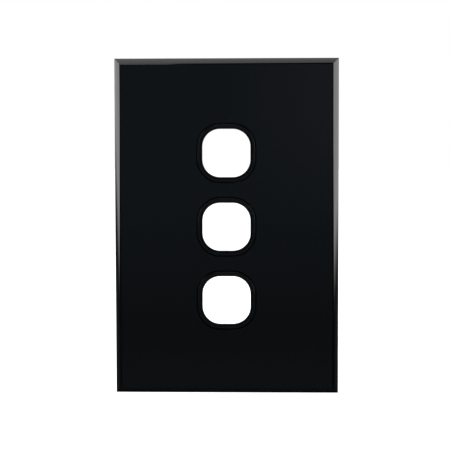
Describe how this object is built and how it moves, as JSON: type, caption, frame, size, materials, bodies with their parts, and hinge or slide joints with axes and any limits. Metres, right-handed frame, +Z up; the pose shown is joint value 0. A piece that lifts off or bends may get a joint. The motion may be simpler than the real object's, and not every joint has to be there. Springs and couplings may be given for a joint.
{
  "type": "wall plate cover",
  "caption": "Slim rectangular wall plate for switches and sockets: a bevelled clip-on cover with a column of rounded-square openings over a grid plate with captive fixing screws.",
  "frame": {"origin": "centre of the plate on the wall plane, midway between the two fixing screws", "axes": "+Z up along the plate's height, +X to the right as seen from the room, +Y into the wall, so the front faces -Y"},
  "size_m": [0.076, 0.0308, 0.114],
  "materials": {
    "cover_plastic": "high gloss, moulded",
    "grid_plastic": "satin, finely textured",
    "screw_steel": "bright zinc plating",
    "washer_nylon": "natural nylon"
  },
  "bodies": {
    "grid": {"grid_plate": "grid_plastic"},
    "cover": {"cover_plate": "cover_plastic"},
    "upper_screw": {"mounting_screw_upper": "screw_steel", "retaining_washer_upper": "washer_nylon"},
    "lower_screw": {"mounting_screw_lower": "screw_steel", "retaining_washer_lower": "washer_nylon"}
  },
  "joints": [
    {"name": "cover_pull", "type": "slide", "parent": "grid", "child": "cover", "axis": [0, -1, 0], "range_m": [0, 0.03]},
    {"name": "upper_screw_turn", "type": "hinge", "parent": "grid", "child": "upper_screw", "pos_m": [0, 0, 0.042], "axis": [0, 1, 0], "continuous": true},
    {"name": "lower_screw_turn", "type": "hinge", "parent": "grid", "child": "lower_screw", "pos_m": [0, 0, -0.042], "axis": [0, 1, 0], "continuous": true}
  ]
}
